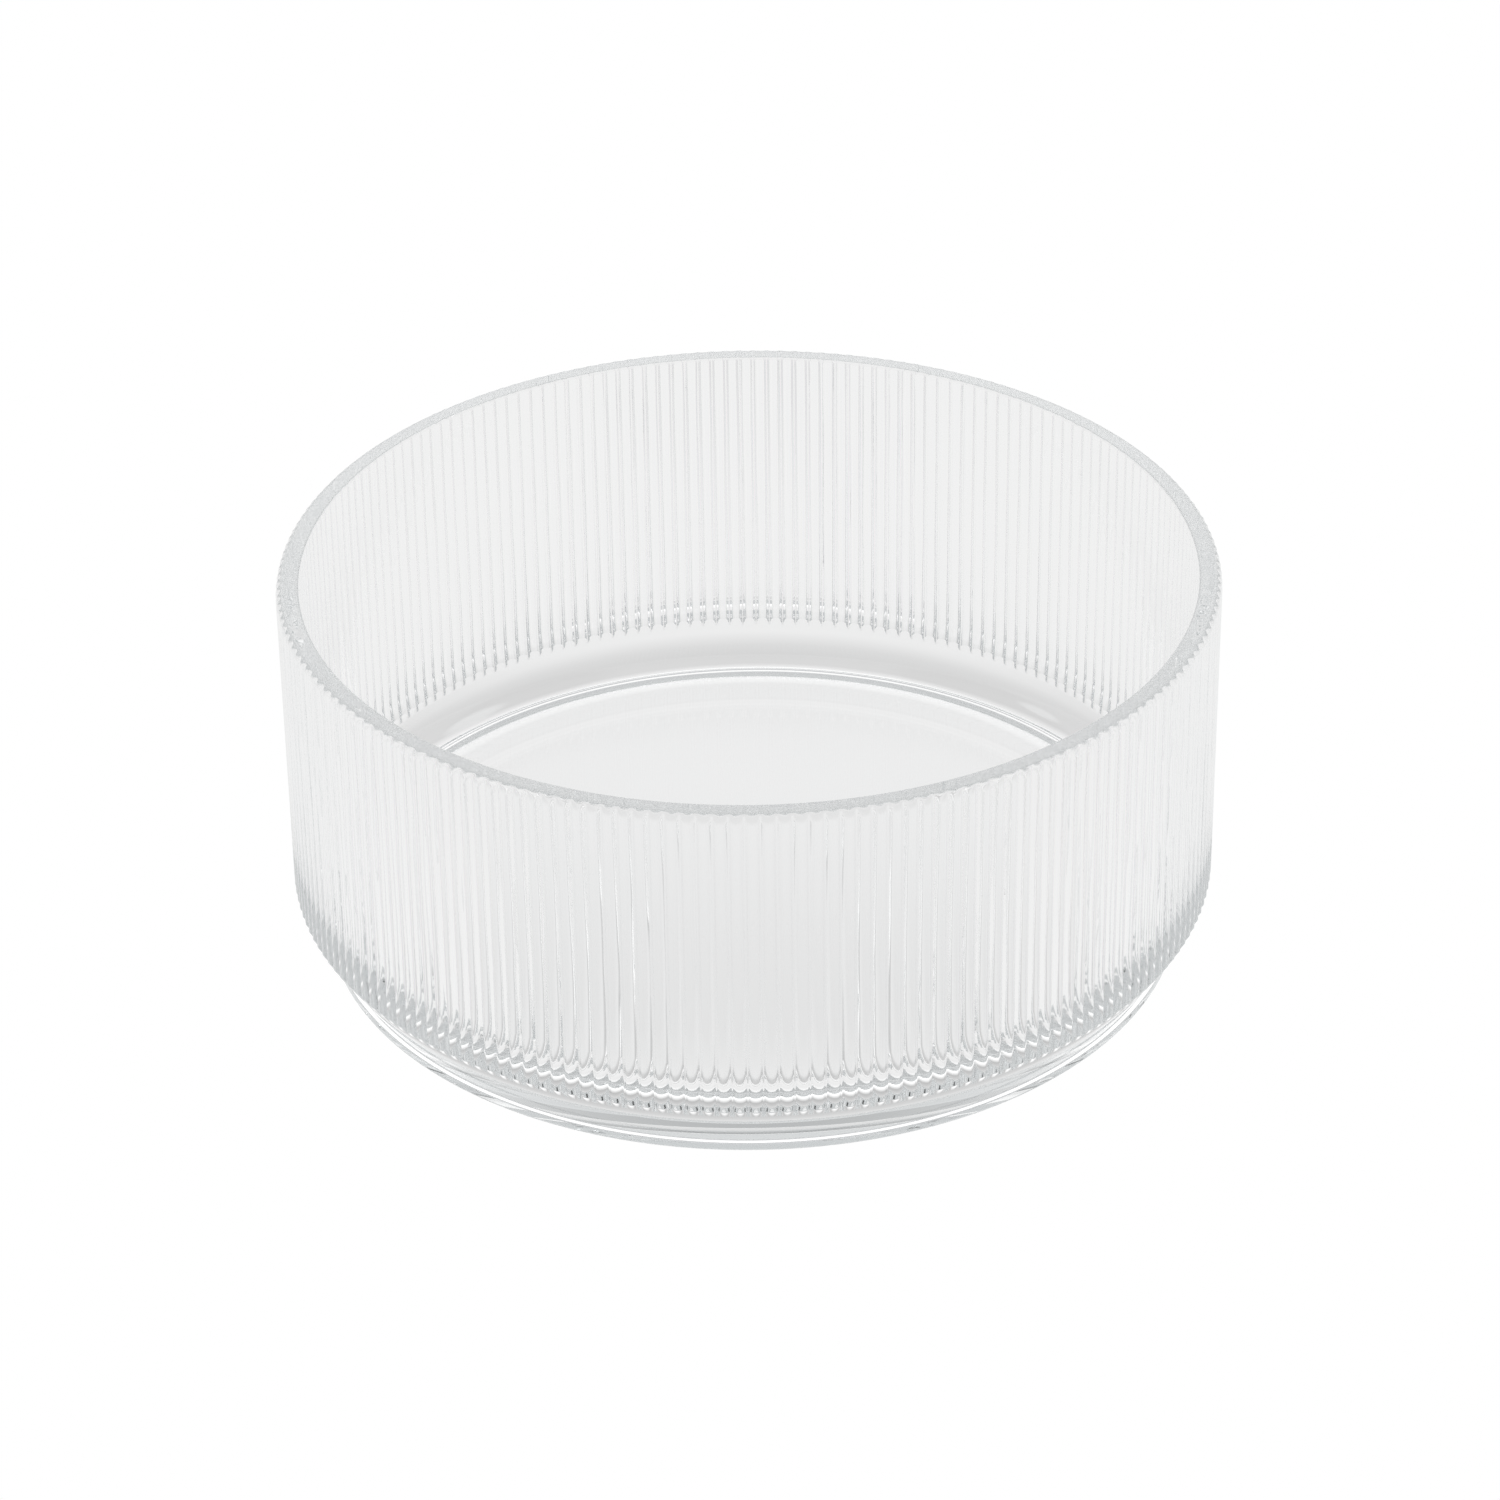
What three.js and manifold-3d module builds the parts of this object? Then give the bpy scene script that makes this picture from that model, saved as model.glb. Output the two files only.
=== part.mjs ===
import * as THREE from 'three';
import { mergeVertices } from 'three/addons/utils/BufferGeometryUtils.js';
import Module from 'manifold-3d';

// Pressed clear-glass serving bowl in one piece: a straight wall with upright reeds outside and
// smooth glass inside, on a bevelled base with a low foot ring.
// Millimetres, +Z up, origin at the middle of the foot on the table.

// Overall size, over the reeds
const CREST_RADIUS = 115;
const BOWL_HEIGHT = 98;

// Reeds: convex, side by side, with a sharp groove between neighbours
const REED_COUNT = 196;
const REED_DEPTH = 1.1;

// Rim: the reed tops round over to a smooth land with a rounded inner edge
const REED_TOP_HEIGHT = 2.4;
const REED_TOP_INSET = 1.2;
const RIM_INNER_ROUND = 0.8;

// Glass thickness, the wall from its inside to the bottom of a groove
const WALL_THICKNESS = 4.6;
const FLOOR_THICKNESS = 9;
const INSIDE_CORNER_ROUND = 18;

// Base: a low foot ring with a narrow flat ledge on top, then a bevel out to the wall
const FOOT_HEIGHT = 2.2;
const FOOT_EDGE_ROUND = 0.5;
const FOOT_LEDGE = 1.3;
const BEVEL_HEIGHT = 14.2;
const BEVEL_INSET = 9.1;

// Under the base: a flat ring to stand on, round a shallow hollow
const STANDING_RING_WIDTH = 7;
const HOLLOW_RISE = 0.8;

// How far a cutting form reaches past the glass
const CUT_MARGIN = 2;

// Facets
const FACETS_PER_REED = 4;
const STEPS_PER_REED_TOP = 2;
const STEPS_PER_EDGE = 2;
const STEPS_PER_CORNER = 5;
const STEPS_PER_HOLLOW = 3;
const INSIDE_SEGMENTS = 96;

const UP = new THREE.Vector3(0, 0, 1);
const QUARTER_TURN = Math.PI / 2;

const grooveRadius = CREST_RADIUS - REED_DEPTH;
const landRadius = grooveRadius - REED_TOP_INSET;
const insideRadius = grooveRadius - WALL_THICKNESS;
const bevelRadius = CREST_RADIUS - BEVEL_INSET;
const footRadius = bevelRadius + FOOT_LEDGE;
const hollowRadius = footRadius - FOOT_EDGE_ROUND - STANDING_RING_WIDTH;
const kneeHeight = FOOT_HEIGHT + BEVEL_HEIGHT;

const wasm = await Module();
wasm.setup();

function solidOf(geometry) {
  geometry.deleteAttribute('normal');
  geometry.deleteAttribute('uv');
  const merged = mergeVertices(geometry);
  return new wasm.Manifold(new wasm.Mesh({
    numProp: 3,
    vertProperties: merged.attributes.position.array,
    triVerts: Uint32Array.from(merged.index.array),
  }));
}

function geometryOf(solid) {
  const mesh = solid.getMesh();
  const geometry = new THREE.BufferGeometry();
  geometry.setAttribute('position', new THREE.BufferAttribute(mesh.vertProperties, 3));
  geometry.setIndex(new THREE.BufferAttribute(mesh.triVerts, 1));
  geometry.computeVertexNormals();
  return geometry;
}

// Points of an elliptical arc in a profile of (radius, height), both ends included.
function arc(centreRadius, centreHeight, width, height, fromAngle, toAngle, steps) {
  const curve = new THREE.EllipseCurve(
    centreRadius, centreHeight, width, height, fromAngle, toAngle, toAngle < fromAngle,
  );
  return curve.getPoints(steps);
}

// A smooth form: a profile from the axis to the axis, turned about +Z.
function turned(profile) {
  const geometry = new THREE.LatheGeometry(profile, INSIDE_SEGMENTS);
  geometry.rotateX(QUARTER_TURN);
  return solidOf(geometry);
}

// One level of a reeded form, with an arc for each reed from groove to groove. Where the profile
// lies inside the grooves there are no reeds, and the level is a circle.
function reededLevel(profilePoint) {
  const crestRadius = profilePoint.x;
  const valleyRadius = Math.min(crestRadius, grooveRadius);
  const halfPitch = Math.PI / REED_COUNT;
  const valleyX = valleyRadius * Math.cos(halfPitch);
  const valleyY = valleyRadius * Math.sin(halfPitch);
  const sagitta = crestRadius - valleyX;
  const reedRadius = (sagitta ** 2 + valleyY ** 2) / (2 * sagitta);
  const centreRadius = crestRadius - reedRadius;
  const spread = Math.atan2(valleyY, valleyX - centreRadius);
  const facets = crestRadius > valleyRadius ? FACETS_PER_REED : 1;
  const level = [];
  for (let reed = 0; reed < REED_COUNT; reed += 1) {
    for (let facet = 0; facet < facets; facet += 1) {
      const along = spread * ((2 * facet) / facets - 1);
      const point = new THREE.Vector3(
        centreRadius + reedRadius * Math.cos(along), reedRadius * Math.sin(along), profilePoint.y,
      );
      level.push(point.applyAxisAngle(UP, 2 * halfPitch * reed));
    }
  }
  return level;
}

// The triangles between two neighbouring levels, where one may have several points for each
// point of the other: those fan out from the nearer of two coarse points.
function bandBetween(lower, upper) {
  const [coarse, fine] = lower.length < upper.length ? [lower, upper] : [upper, lower];
  const ratio = fine.length / coarse.length;
  const middle = Math.floor(ratio / 2);
  const triangles = [];
  coarse.forEach((here, index) => {
    const next = coarse[(index + 1) % coarse.length];
    const fineAt = (offset) => fine[(index * ratio + offset) % fine.length];
    if (here !== next) triangles.push([here, fineAt(middle), next]);
    for (let offset = 0; offset < ratio; offset += 1) {
      const pivot = offset < middle ? here : next;
      triangles.push([pivot, fineAt(offset), fineAt(offset + 1)]);
    }
  });
  return coarse === upper ? triangles : triangles.map(([a, b, c]) => [a, c, b]);
}

// A reeded form: the levels of a profile from the bottom up, joined and closed at both ends.
function reeded(profile) {
  const levels = profile.map(reededLevel);
  const bottom = [new THREE.Vector3(0, 0, profile[0].y)];
  const top = [new THREE.Vector3(0, 0, profile.at(-1).y)];
  const triangles = [bottom, ...levels].flatMap(
    (level, index) => bandBetween(level, levels[index] ?? top),
  );
  const geometry = new THREE.BufferGeometry().setFromPoints(triangles.flat());
  return solidOf(geometry);
}

// The outside: foot ring, ledge, bevel, knee, wall and reed tops. The grooves run straight down and
// out on the bevel, where it comes in as far as their depth.
function outsideForm() {
  const runOutDrop = (REED_DEPTH / BEVEL_INSET) * BEVEL_HEIGHT;
  const footEdge = arc(
    footRadius - FOOT_EDGE_ROUND, FOOT_EDGE_ROUND, FOOT_EDGE_ROUND, FOOT_EDGE_ROUND,
    -QUARTER_TURN, 0, STEPS_PER_EDGE,
  );
  const reedTops = arc(
    landRadius, BOWL_HEIGHT - REED_TOP_HEIGHT, CREST_RADIUS - landRadius, REED_TOP_HEIGHT,
    0, QUARTER_TURN, STEPS_PER_REED_TOP,
  );
  return reeded([
    ...footEdge,
    new THREE.Vector2(footRadius, FOOT_HEIGHT),
    new THREE.Vector2(bevelRadius, FOOT_HEIGHT),
    new THREE.Vector2(grooveRadius, kneeHeight - runOutDrop),
    new THREE.Vector2(CREST_RADIUS, kneeHeight),
    ...reedTops,
  ]);
}

// The inside: flat floor, rounded corner, straight wall and the rounded inner edge of the rim.
function insideForm() {
  const corner = arc(
    insideRadius - INSIDE_CORNER_ROUND, FLOOR_THICKNESS + INSIDE_CORNER_ROUND,
    INSIDE_CORNER_ROUND, INSIDE_CORNER_ROUND, -QUARTER_TURN, 0, STEPS_PER_CORNER,
  );
  const rimEdge = arc(
    insideRadius + RIM_INNER_ROUND, BOWL_HEIGHT - RIM_INNER_ROUND,
    RIM_INNER_ROUND, RIM_INNER_ROUND, Math.PI, QUARTER_TURN, STEPS_PER_EDGE,
  );
  return turned([
    new THREE.Vector2(0, FLOOR_THICKNESS),
    ...corner,
    ...rimEdge,
    new THREE.Vector2(insideRadius + RIM_INNER_ROUND, BOWL_HEIGHT + CUT_MARGIN),
    new THREE.Vector2(0, BOWL_HEIGHT + CUT_MARGIN),
  ]);
}

// The hollow under the base: a shallow cap inside the standing ring.
function hollowForm() {
  const capRadius = (hollowRadius ** 2 + HOLLOW_RISE ** 2) / (2 * HOLLOW_RISE);
  const capAngle = Math.asin(hollowRadius / capRadius);
  const cap = arc(
    0, HOLLOW_RISE - capRadius, capRadius, capRadius,
    QUARTER_TURN - capAngle, QUARTER_TURN, STEPS_PER_HOLLOW,
  );
  return turned([
    new THREE.Vector2(0, -CUT_MARGIN),
    new THREE.Vector2(hollowRadius, -CUT_MARGIN),
    ...cap.slice(0, -1),
    new THREE.Vector2(0, HOLLOW_RISE),
  ]);
}

const glass = new THREE.MeshStandardMaterial({
  color: 0xe2e7e8,
  roughness: 0.04,
  metalness: 0,
  transparent: true,
  opacity: 0.4,
});

const bowlSolid = outsideForm().subtract(insideForm()).subtract(hollowForm());
const bowl = new THREE.Mesh(geometryOf(bowlSolid), glass);
bowl.name = 'bowl';

const group = new THREE.Group();
group.add(bowl);

export default group;
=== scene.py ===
import math

import bpy
import numpy as np
from mathutils import Euler, Matrix, Vector


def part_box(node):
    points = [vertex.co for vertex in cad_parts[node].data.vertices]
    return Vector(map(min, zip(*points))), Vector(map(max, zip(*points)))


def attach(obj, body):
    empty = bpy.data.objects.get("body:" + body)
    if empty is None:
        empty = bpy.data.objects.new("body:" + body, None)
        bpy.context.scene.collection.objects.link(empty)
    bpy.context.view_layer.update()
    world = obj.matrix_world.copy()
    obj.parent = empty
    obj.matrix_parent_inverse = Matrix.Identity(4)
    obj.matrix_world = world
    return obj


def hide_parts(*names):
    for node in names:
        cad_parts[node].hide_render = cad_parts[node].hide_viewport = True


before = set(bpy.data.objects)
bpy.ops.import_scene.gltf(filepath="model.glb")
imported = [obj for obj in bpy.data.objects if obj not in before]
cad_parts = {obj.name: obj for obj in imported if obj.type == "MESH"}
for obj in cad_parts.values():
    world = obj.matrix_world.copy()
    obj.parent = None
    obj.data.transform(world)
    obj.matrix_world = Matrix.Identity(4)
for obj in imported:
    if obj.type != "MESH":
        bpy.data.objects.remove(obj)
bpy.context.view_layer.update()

# Sizes of the bowl in metres. Radius and height come from the frame.
bowl_low, bowl_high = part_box("bowl")
CREST_RADIUS = (bowl_high[0] - bowl_low[0]) / 2
BOWL_HEIGHT = bowl_high[2]

# Reeds on the outside of the wall. The depths of the grooves vary a little from one to the next.
REED_COUNT = 196
REED_DEPTH = 0.0011
GROOVE_ROUND = 0.00025
GROOVE_SEED = 7
GROOVE_SPREAD = 0.06
GROOVE_SPREAD_LIMIT = 2

# Rim
REED_TOP_HEIGHT = 0.0024
REED_TOP_INSET = 0.0012
REED_TOP_WIDTH = 0.7
GROOVE_TOP_ROUND = 0.0006
RIM_INNER_ROUND = 0.0008

# Glass thickness and the inside corner
WALL_THICKNESS = 0.0046
FLOOR_THICKNESS = 0.0090
INSIDE_CORNER_ROUND = 0.018

# Base
FOOT_HEIGHT = 0.0022
FOOT_EDGE_ROUND = 0.0005
FOOT_LEDGE = 0.0013
LEDGE_ROUND = 0.0002
NOTCH_ROUND = 0.00015
BEVEL_HEIGHT = 0.0142
BEVEL_INSET = 0.0091
KNEE_ROUND = 0.0005
STANDING_RING_WIDTH = 0.0070
HOLLOW_RISE = 0.0008

# Fineness of the mesh
CREST_FACETS = 8
GROOVE_FACETS = 2
PLAIN_POINTS_PER_REED = 1
STEPS_PER_ROUND = 8
STEPS_PER_SMALL_ROUND = STEPS_PER_ROUND // 2
STEPS_PER_CORNER = 16
STEPS_PER_SPAN = 6
STEPS_PER_LAND = 2
STEPS_PER_FOOT_SPAN = 1
EDGE_SUPPORT = 0.0001
ON_AXIS = 1e-9

# Glass
GLASS_IOR = 1.5
GLASS_TINT = (0.970, 0.980, 0.982, 1)
GLASS_DENSITY = 4.0

# Waves of the pressed glass: their lengths across and along the reeds, their height and roughness.
# They set in between two heights on the wall, because the thick base is even.
WAVE_ACROSS = 0.004
WAVE_ALONG = 0.04
WAVE_HEIGHT = 0.0003
WAVE_DETAIL = 1.0
WAVE_BOTTOM = 0.025
WAVE_FULL = 0.045
WAVE_ROUGHNESS = 0.004

# The camera of the photograph, fitted to the bowl's outline
PHOTO_SIZE = 1500
CAMERA_DISTANCE = 11.15 * CREST_RADIUS
CAMERA_ELEVATION = 0.55115
CAMERA_ROLL = 0.0136
TARGET_HEIGHT = 0.4 * CREST_RADIUS
FOCAL_PIXELS = 5157.4
TARGET_PIXEL = (751.13, 746.22)
SENSOR_WIDTH = 36.0
CLIP_NEAR = 0.01
CLIP_FAR = 50

# Light is led round inside the rim and foot, so its paths are long
LIGHT_BOUNCES = 64

# Room: an even level that falls towards the horizon, height in degrees, and a white backdrop
ROOM_LEVEL = 0.62
ROOM_TINT = (0.975, 1.0, 1.01, 1)
BACKDROP_LEVEL = 1.03
HORIZON_HEIGHT = 35
HORIZON_LEVEL = 0.55

# Soft lights and dark cards in the room: azimuth, elevation, inner and outer edge in degrees, change
ROOM_PATCHES = [
    (20, 50, 3, 8, 2.2),
    (165, 45, 2, 6, 2.0),
    (10, 57, 12, 18, -0.55),
    (165, 57, 12, 18, -0.55),
]

# Floor, just under the foot
FLOOR_REACH = 4.0
FLOOR_LEVEL = -0.0002

# How bright the glass sees the floor: distance from the bowl's axis in metres, level. These levels are
# painted light and shade:
# a painted contact shadow under and round the foot, a painted bright ring just inside the foot's edge, a
# floor painted darker in front than behind, and a floor painted darker far from the bowl. The floor
# behind the bowl passes into the floor in front of it between two places along Y.
SHADE_REACH = 1.5
SHADE_BACK = 0.07
SHADE_FRONT = -0.07
BACK_SHADE = [
    (0.0, 0.9), (0.05, 0.9), (0.1, 0.88), (0.1028, 0.86),
    (0.1036, 1.2), (0.107, 1.2),
    (0.1085, 0.7), (0.12, 0.68), (0.134, 0.87), (0.4, 0.9), (0.8, 0.5), (1.5, 0.4),
]
FRONT_SHADE = [
    (0.0, 0.78), (0.065, 0.78), (0.08, 0.83), (0.092, 0.84),
    (0.0945, 0.54), (0.1, 0.5), (0.1042, 0.42),
    (0.1045, 1.25), (0.1058, 1.25),
    (0.1062, 0.6), (0.1074, 0.86), (0.118, 0.88), (0.132, 0.9),
    (0.2, 0.87), (0.4, 0.84), (0.8, 0.5), (1.5, 0.4),
]

QUARTER_TURN = math.pi / 2

groove_radius = CREST_RADIUS - REED_DEPTH
land_radius = groove_radius - REED_TOP_INSET
inside_radius = groove_radius - WALL_THICKNESS
bevel_radius = CREST_RADIUS - BEVEL_INSET
foot_radius = bevel_radius + FOOT_LEDGE
hollow_radius = foot_radius - FOOT_EDGE_ROUND - STANDING_RING_WIDTH
knee_height = FOOT_HEIGHT + BEVEL_HEIGHT
reed_top_low = BOWL_HEIGHT - REED_TOP_HEIGHT

groove_draws = np.random.RandomState(GROOVE_SEED).normal(size=REED_COUNT)
groove_scales = 1 + GROOVE_SPREAD * np.clip(groove_draws, -GROOVE_SPREAD_LIMIT, GROOVE_SPREAD_LIMIT)


def arc(centre, radii, start, end, steps):
    """Points of an elliptical arc in a profile of (radius, height), both ends included."""
    angles = np.linspace(start, end, steps + 1)
    return [(centre[0] + radii[0] * math.cos(a), centre[1] + radii[1] * math.sin(a)) for a in angles]


def span(start, end, steps):
    """Points inside a straight stretch, one close to each end so that its shading stays straight."""
    start, end = np.array(start), np.array(end)
    along = (end - start) / np.linalg.norm(end - start)
    first, last = start + EDGE_SUPPORT * along, end - EDGE_SUPPORT * along
    return [tuple(first + (last - first) * share) for share in np.linspace(0, 1, steps + 1)]


def hollow_profile():
    """The shallow hollow under the base, from the axis out to the standing ring."""
    cap_radius = (hollow_radius**2 + HOLLOW_RISE**2) / (2 * HOLLOW_RISE)
    cap_angle = math.asin(hollow_radius / cap_radius)
    return arc(
        (0, HOLLOW_RISE - cap_radius), (cap_radius, cap_radius),
        QUARTER_TURN, QUARTER_TURN - cap_angle, STEPS_PER_CORNER,
    )


def base_profile():
    """From the axis under the base, over the standing ring and foot, to the top of the knee."""
    hollow = hollow_profile()
    bevel_angle = math.atan2(BEVEL_INSET, BEVEL_HEIGHT)
    foot_edge = arc(
        (foot_radius - FOOT_EDGE_ROUND, FOOT_EDGE_ROUND), (FOOT_EDGE_ROUND, FOOT_EDGE_ROUND),
        -QUARTER_TURN, 0, STEPS_PER_ROUND,
    )
    ledge_edge = arc(
        (foot_radius - LEDGE_ROUND, FOOT_HEIGHT - LEDGE_ROUND), (LEDGE_ROUND, LEDGE_ROUND),
        0, QUARTER_TURN, STEPS_PER_SMALL_ROUND,
    )
    notch_reach = NOTCH_ROUND / math.tan((QUARTER_TURN - bevel_angle) / 2)
    notch = arc(
        (bevel_radius + notch_reach, FOOT_HEIGHT + NOTCH_ROUND), (NOTCH_ROUND, NOTCH_ROUND),
        -QUARTER_TURN, -math.pi - bevel_angle, STEPS_PER_SMALL_ROUND,
    )
    knee_reach = KNEE_ROUND * math.tan(bevel_angle / 2)
    knee = arc(
        (CREST_RADIUS - KNEE_ROUND, knee_height + knee_reach), (KNEE_ROUND, KNEE_ROUND),
        -bevel_angle, 0, STEPS_PER_ROUND,
    )
    run_out = (groove_radius, knee_height - REED_DEPTH / math.tan(bevel_angle))
    return [
        *hollow,
        *span(hollow[-1], foot_edge[0], STEPS_PER_SPAN),
        *foot_edge,
        *span(foot_edge[-1], ledge_edge[0], STEPS_PER_FOOT_SPAN),
        *ledge_edge,
        *span(ledge_edge[-1], notch[0], STEPS_PER_FOOT_SPAN),
        *notch,
        *span(notch[-1], run_out, STEPS_PER_SPAN),
        *span(run_out, knee[0], STEPS_PER_SPAN),
        *knee,
    ]


def wall_profile(knee_top):
    """Up the outside of a reed's crest to the foot of its rounded top."""
    return span(knee_top, (CREST_RADIUS, reed_top_low), STEPS_PER_SPAN)


def reed_top_profiles():
    """Up a reed's rounded top: points of its crest and of the groove beside it, and the reed's width.
    The crest comes in over the rim, the groove stays upright, so the tops stand like finger tips."""
    crest = arc(
        (land_radius, reed_top_low), (CREST_RADIUS - land_radius, REED_TOP_HEIGHT),
        0, QUARTER_TURN, STEPS_PER_ROUND,
    )
    upright_top = BOWL_HEIGHT - GROOVE_TOP_ROUND
    upright = span((groove_radius, reed_top_low), (groove_radius, upright_top), STEPS_PER_SMALL_ROUND)
    over = arc(
        (groove_radius - GROOVE_TOP_ROUND, upright_top), (GROOVE_TOP_ROUND, GROOVE_TOP_ROUND),
        0, QUARTER_TURN, STEPS_PER_SMALL_ROUND,
    )
    groove = [*upright, *over[1:]]
    shares = np.linspace(0, 1, STEPS_PER_ROUND + 1)
    widths = 1 - (1 - REED_TOP_WIDTH) * shares**2
    return list(zip(crest, groove, widths))


def inside_profile():
    """Over the rim and down the inside to the middle of the floor."""
    rim_edge = arc(
        (inside_radius + RIM_INNER_ROUND, BOWL_HEIGHT - RIM_INNER_ROUND),
        (RIM_INNER_ROUND, RIM_INNER_ROUND), QUARTER_TURN, math.pi, STEPS_PER_ROUND,
    )
    corner = arc(
        (inside_radius - INSIDE_CORNER_ROUND, FLOOR_THICKNESS + INSIDE_CORNER_ROUND),
        (INSIDE_CORNER_ROUND, INSIDE_CORNER_ROUND), 0, -QUARTER_TURN, STEPS_PER_CORNER,
    )
    middle = (0, FLOOR_THICKNESS)
    return [
        *span((land_radius, BOWL_HEIGHT), rim_edge[0], STEPS_PER_LAND),
        *rim_edge,
        *span(rim_edge[-1], corner[0], STEPS_PER_SPAN),
        *corner,
        *span(corner[-1], middle, STEPS_PER_SPAN)[:-1],
        middle,
    ]


def reed_section():
    """One reed from groove to groove: place across it, -1 to 1, and height above the groove, 0 to 1.
    A convex crest meets a small round in each groove on a common tangent."""
    half_pitch = math.pi * groove_radius / REED_COUNT
    both_rounds = (half_pitch**2 + REED_DEPTH**2) / (2 * REED_DEPTH)
    crest_round = both_rounds - GROOVE_ROUND
    flank = math.asin(half_pitch / both_rounds)
    crest_angles = np.linspace(-flank, flank, CREST_FACETS + 1)
    groove_angles = np.linspace(0, flank, GROOVE_FACETS + 1)[:-1]
    left_across = -half_pitch + GROOVE_ROUND * np.sin(groove_angles)
    left_height = GROOVE_ROUND * (1 - np.cos(groove_angles))
    crest_across = crest_round * np.sin(crest_angles)
    crest_height = REED_DEPTH - crest_round * (1 - np.cos(crest_angles))
    across = np.concatenate([left_across, crest_across, -left_across[:0:-1]])
    height = np.concatenate([left_height, crest_height, left_height[:0:-1]])
    return across / half_pitch, height / REED_DEPTH


def plain_ring(radius, height):
    """One smooth ring of the bowl, or a point where the profile meets the axis."""
    if radius <= ON_AXIS:
        return np.array([[0, 0, height]])
    count = REED_COUNT * PLAIN_POINTS_PER_REED
    angles = np.arange(count) * 2 * math.pi / count - math.pi / REED_COUNT
    return np.column_stack([radius * np.cos(angles), radius * np.sin(angles), np.full(count, height)])


def reeded_ring(crest, groove, width):
    """One reeded ring, between the crest's and the groove's points of the profile."""
    across, rise = reed_section()
    share = (across + 1) / 2
    depths = groove_scales[:, None] * (1 - share) + np.roll(groove_scales, -1)[:, None] * share
    half, half_rise = np.append(across[across >= 0], 1), np.append(rise[across >= 0], 0)
    lift = np.interp(np.abs(across) / width, half, half_rise)
    fall = (1 - lift[None, :]) * depths
    angles = (np.arange(REED_COUNT)[:, None] + across[None, :] / 2) * 2 * math.pi / REED_COUNT
    radii = crest[0] + (groove[0] - crest[0]) * fall
    heights = crest[1] + (groove[1] - crest[1]) * np.minimum(fall, 1)
    return np.column_stack([
        (radii * np.cos(angles)).ravel(), (radii * np.sin(angles)).ravel(), heights.ravel(),
    ])


def bowl_rings():
    """All rings: out under the base, up the outside, over the rim and down to the middle of the floor."""
    base = base_profile()
    outside = base + wall_profile(base[-1])
    first_reeded = next(i for i, (radius, _) in enumerate(outside) if radius >= groove_radius)
    rings = [plain_ring(*point) for point in outside[:first_reeded]]
    rings += [reeded_ring(point, (groove_radius, point[1]), 1) for point in outside[first_reeded:]]
    rings += [reeded_ring(*top) for top in reed_top_profiles()]
    rings += [plain_ring(*point) for point in inside_profile()]
    return rings


def faces_between(start_a, count_a, start_b, count_b):
    """Faces between two rings, the second one further along the profile.
    A coarse ring meets a fine one in fans."""
    if count_a == count_b:
        here = np.arange(count_a)
        after = (here + 1) % count_a
        corners = [start_a + here, start_a + after, start_b + after, start_b + here]
        return np.column_stack(corners).tolist()
    flipped = count_a > count_b
    coarse_start, coarse = (start_b, count_b) if flipped else (start_a, count_a)
    fine_start, fine = (start_a, count_a) if flipped else (start_b, count_b)
    ratio = fine // coarse
    faces = []
    for here in range(coarse):
        after = (here + 1) % coarse
        fine_at = [fine_start + (here * ratio + offset) % fine for offset in range(ratio + 1)]
        if coarse > 1:
            faces.append([coarse_start + here, coarse_start + after, fine_at[ratio // 2]])
        for offset in range(ratio):
            pivot = here if offset < ratio // 2 else after
            faces.append([coarse_start + pivot, fine_at[offset + 1], fine_at[offset]])
    return [face[::-1] for face in faces] if flipped else faces


def build_bowl():
    """The bowl as one closed mesh."""
    rings = bowl_rings()
    counts = [len(ring) for ring in rings]
    starts = np.cumsum([0] + counts)
    faces = []
    for i in range(len(rings) - 1):
        faces.extend(faces_between(starts[i], counts[i], starts[i + 1], counts[i + 1]))
    mesh = bpy.data.meshes.new("bowl_glass")
    mesh.from_pydata(np.concatenate(rings).tolist(), [], faces)
    mesh.validate()
    mesh.shade_smooth()
    bowl = bpy.data.objects.new("bowl_glass", mesh)
    bpy.context.scene.collection.objects.link(bowl)
    return bowl


def combine(nodes, links, operation, first, second):
    """A math node on two outputs."""
    node = nodes.new("ShaderNodeMath")
    node.operation = operation
    links.new(first, node.inputs[0])
    links.new(second, node.inputs[1])
    return node.outputs["Value"]


def along_axis(nodes, links, vector, axis):
    """One coordinate of a vector."""
    parts = nodes.new("ShaderNodeSeparateXYZ")
    links.new(vector, parts.inputs["Vector"])
    return parts.outputs[axis]


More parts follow.
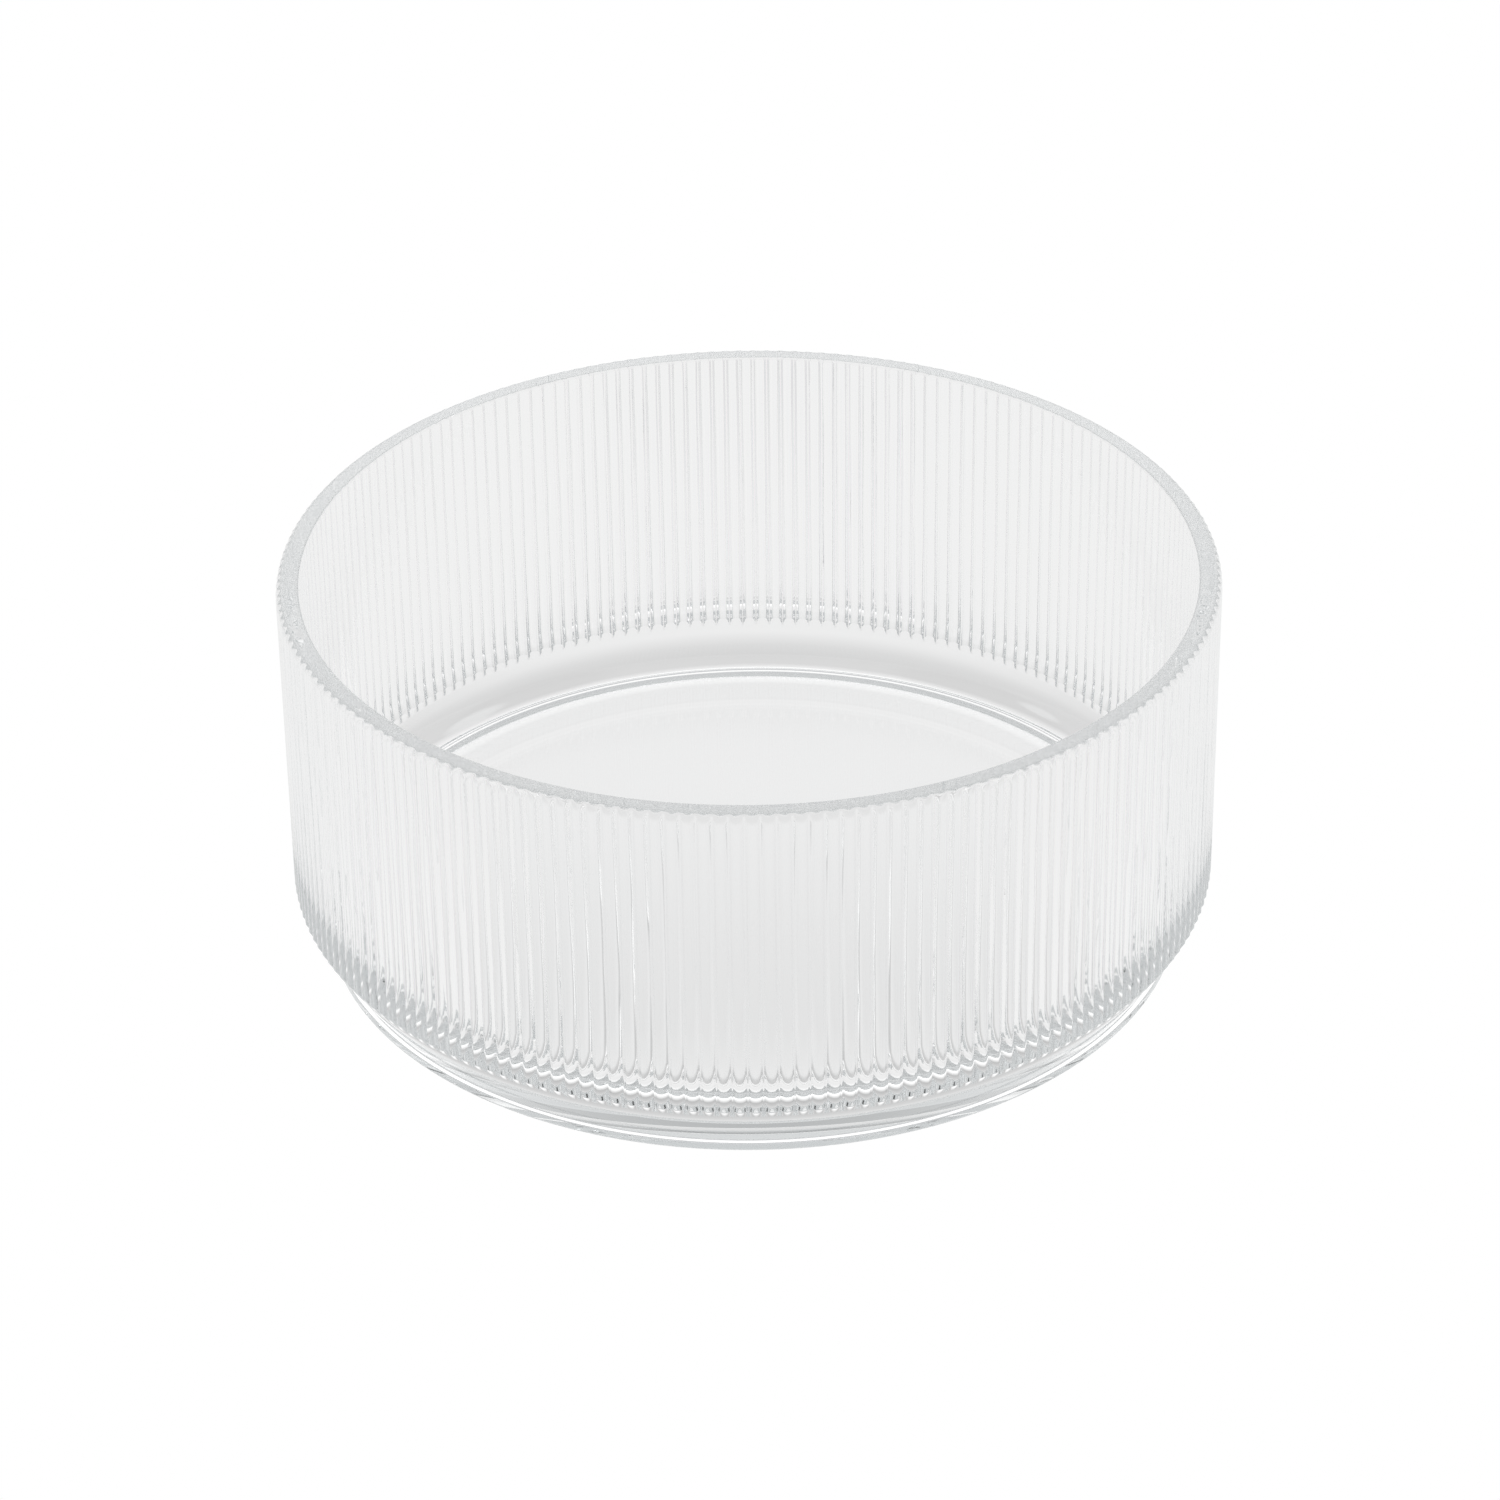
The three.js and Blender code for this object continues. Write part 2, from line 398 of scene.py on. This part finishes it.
def glass_material():
    """Clear glass with faint upright waves on the wall, which bend what is seen through it."""
    material = bpy.data.materials.new("clear_glass")
    material.use_nodes = True
    nodes, links = material.node_tree.nodes, material.node_tree.links
    glass = nodes["Principled BSDF"]
    glass.inputs["Base Color"].default_value = (1, 1, 1, 1)
    glass.inputs["IOR"].default_value = GLASS_IOR
    glass.inputs["Transmission Weight"].default_value = 1.0
    place = nodes.new("ShaderNodeTexCoord").outputs["Object"]
    stretch = nodes.new("ShaderNodeMapping")
    stretch.inputs["Scale"].default_value = (1 / WAVE_ACROSS, 1 / WAVE_ACROSS, 1 / WAVE_ALONG)
    links.new(place, stretch.inputs["Vector"])
    waves = nodes.new("ShaderNodeTexNoise")
    waves.inputs["Scale"].default_value = 1.0
    waves.inputs["Detail"].default_value = WAVE_DETAIL
    links.new(stretch.outputs["Vector"], waves.inputs["Vector"])
    rise = nodes.new("ShaderNodeMapRange")
    rise.inputs["From Min"].default_value = WAVE_BOTTOM
    rise.inputs["From Max"].default_value = WAVE_FULL
    links.new(along_axis(nodes, links, place, "Z"), rise.inputs["Value"])
    on_wall = combine(nodes, links, "MULTIPLY", waves.outputs["Fac"], rise.outputs["Result"])
    bump = nodes.new("ShaderNodeBump")
    bump.inputs["Strength"].default_value = 1.0
    bump.inputs["Distance"].default_value = WAVE_HEIGHT
    links.new(on_wall, bump.inputs["Height"])
    links.new(bump.outputs["Normal"], glass.inputs["Normal"])
    polish = nodes.new("ShaderNodeMapRange")
    polish.inputs["To Min"].default_value = 0.0
    polish.inputs["To Max"].default_value = WAVE_ROUGHNESS
    links.new(waves.outputs["Fac"], polish.inputs["Value"])
    links.new(polish.outputs["Result"], glass.inputs["Roughness"])
    absorption = nodes.new("ShaderNodeVolumeAbsorption")
    absorption.inputs["Color"].default_value = GLASS_TINT
    absorption.inputs["Density"].default_value = GLASS_DENSITY
    links.new(absorption.outputs["Volume"], nodes["Material Output"].inputs["Volume"])
    return material


def shade_ramp(nodes, links, distance, shade):
    """A grey that follows the distance from the bowl's axis."""
    share = nodes.new("ShaderNodeMapRange")
    share.inputs["From Max"].default_value = SHADE_REACH
    links.new(distance, share.inputs["Value"])
    ramp = nodes.new("ShaderNodeValToRGB")
    links.new(share.outputs["Result"], ramp.inputs["Fac"])
    stops = ramp.color_ramp.elements
    for index, (radius, level) in enumerate(shade):
        position = radius / SHADE_REACH
        stop = stops[index] if index < len(stops) else stops.new(position)
        stop.position = position
        stop.color = (level, level, level, 1)
    return ramp.outputs["Color"]


def floor_material():
    """Pale floor. The camera sees it plain; the glass sees it darker, with rings of shade and light
    where the foot stands."""
    material = bpy.data.materials.new("pale_floor")
    material.use_nodes = True
    nodes, links = material.node_tree.nodes, material.node_tree.links
    nodes.remove(nodes["Principled BSDF"])
    place = nodes.new("ShaderNodeTexCoord").outputs["Object"]
    distance = nodes.new("ShaderNodeVectorMath")
    distance.operation = "LENGTH"
    links.new(place, distance.inputs[0])
    front = nodes.new("ShaderNodeMapRange")
    front.interpolation_type = "SMOOTHSTEP"
    front.inputs["From Min"].default_value = SHADE_BACK
    front.inputs["From Max"].default_value = SHADE_FRONT
    links.new(along_axis(nodes, links, place, "Y"), front.inputs["Value"])
    # Painted shade: the floor in front of the bowl is painted darker than behind it, and both carry
    # painted rings of shadow and light round the foot.
    shade = nodes.new("ShaderNodeMix")
    shade.data_type = "RGBA"
    links.new(front.outputs["Result"], shade.inputs["Factor"])
    links.new(shade_ramp(nodes, links, distance.outputs["Value"], BACK_SHADE), shade.inputs["A"])
    links.new(shade_ramp(nodes, links, distance.outputs["Value"], FRONT_SHADE), shade.inputs["B"])
    view = nodes.new("ShaderNodeLightPath")
    tone = nodes.new("ShaderNodeMix")
    tone.data_type = "RGBA"
    links.new(view.outputs["Is Camera Ray"], tone.inputs["Factor"])
    links.new(shade.outputs["Result"], tone.inputs["A"])
    tone.inputs["B"].default_value = (1, 1, 1, 1)
    emission = nodes.new("ShaderNodeEmission")
    links.new(tone.outputs["Result"], emission.inputs["Color"])
    links.new(emission.outputs["Emission"], nodes["Material Output"].inputs["Surface"])
    return material


def build_floor():
    """A plain square floor under the bowl."""
    mesh = bpy.data.meshes.new("floor")
    signs = [(-1, -1), (1, -1), (1, 1), (-1, 1)]
    corners = [(x * FLOOR_REACH, y * FLOOR_REACH, FLOOR_LEVEL) for x, y in signs]
    mesh.from_pydata(corners, [], [(0, 1, 2, 3)])
    floor = bpy.data.objects.new("floor", mesh)
    floor.data.materials.append(floor_material())
    bpy.context.scene.collection.objects.link(floor)


def soft_patch(nodes, links, direction, patch):
    """The change of the room's level by one round patch with a soft edge."""
    azimuth, elevation, inner, outer = (math.radians(angle) for angle in patch[:4])
    middle = (
        math.cos(elevation) * math.cos(azimuth),
        math.cos(elevation) * math.sin(azimuth),
        math.sin(elevation),
    )
    nearness = nodes.new("ShaderNodeVectorMath")
    nearness.operation = "DOT_PRODUCT"
    nearness.inputs[1].default_value = middle
    links.new(direction, nearness.inputs[0])
    edge = nodes.new("ShaderNodeMapRange")
    edge.interpolation_type = "SMOOTHSTEP"
    edge.inputs["From Min"].default_value = math.cos(outer)
    edge.inputs["From Max"].default_value = math.cos(inner)
    edge.inputs["To Max"].default_value = patch[4]
    links.new(nearness.outputs["Value"], edge.inputs["Value"])
    return edge.outputs["Result"]


def build_world():
    """A plain pale room with a few soft lights and dark cards. The camera sees its backdrop white."""
    world = bpy.data.worlds.new("studio")
    bpy.context.scene.world = world
    world.use_nodes = True
    nodes, links = world.node_tree.nodes, world.node_tree.links
    direction = nodes.new("ShaderNodeTexCoord").outputs["Generated"]
    level = nodes.new("ShaderNodeValue").outputs[0]
    level.default_value = ROOM_LEVEL
    for patch in ROOM_PATCHES:
        level = combine(nodes, links, "ADD", level, soft_patch(nodes, links, direction, patch))
    horizon = nodes.new("ShaderNodeMapRange")
    horizon.interpolation_type = "SMOOTHSTEP"
    horizon.inputs["From Max"].default_value = math.sin(math.radians(HORIZON_HEIGHT))
    horizon.inputs["To Min"].default_value = HORIZON_LEVEL
    links.new(along_axis(nodes, links, direction, "Z"), horizon.inputs["Value"])
    dimmed = combine(nodes, links, "MULTIPLY", level, horizon.outputs["Result"])
    view = nodes.new("ShaderNodeLightPath")
    seen = nodes.new("ShaderNodeMix")
    links.new(view.outputs["Is Camera Ray"], seen.inputs["Factor"])
    links.new(dimmed, seen.inputs["A"])
    seen.inputs["B"].default_value = BACKDROP_LEVEL
    links.new(seen.outputs["Result"], nodes["Background"].inputs["Strength"])
    nodes["Background"].inputs["Color"].default_value = ROOM_TINT


def build_camera():
    """The camera of the photograph, which looks down at the bowl from the front."""
    camera = bpy.data.cameras.new("photo_camera")
    camera.sensor_width = SENSOR_WIDTH
    camera.lens = SENSOR_WIDTH * FOCAL_PIXELS / PHOTO_SIZE
    camera.shift_x = (PHOTO_SIZE / 2 - TARGET_PIXEL[0]) / PHOTO_SIZE
    camera.shift_y = (TARGET_PIXEL[1] - PHOTO_SIZE / 2) / PHOTO_SIZE
    camera.clip_start = CLIP_NEAR
    camera.clip_end = CLIP_FAR
    holder = bpy.data.objects.new("photo_camera", camera)
    bpy.context.scene.collection.objects.link(holder)
    back = Vector((0, -math.cos(CAMERA_ELEVATION), math.sin(CAMERA_ELEVATION)))
    tilt = Euler((QUARTER_TURN - CAMERA_ELEVATION, 0, 0)).to_matrix()
    roll = Matrix.Rotation(-CAMERA_ROLL, 3, "Z")
    turn = (tilt @ roll).to_4x4()
    place = Matrix.Translation(Vector((0, 0, TARGET_HEIGHT)) + CAMERA_DISTANCE * back)
    holder.matrix_world = place @ turn
    bpy.context.scene.camera = holder


def set_light_paths():
    """Plain view colours, and long paths for the light inside the glass."""
    scene = bpy.context.scene
    scene.view_settings.view_transform = "Standard"
    scene.cycles.max_bounces = LIGHT_BOUNCES
    scene.cycles.transmission_bounces = LIGHT_BOUNCES
    scene.cycles.glossy_bounces = LIGHT_BOUNCES
    scene.cycles.blur_glossy = 0


bowl = build_bowl()
bowl.data.materials.append(glass_material())
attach(bowl, "root")
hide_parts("bowl")
build_floor()
build_world()
build_camera()
set_light_paths()
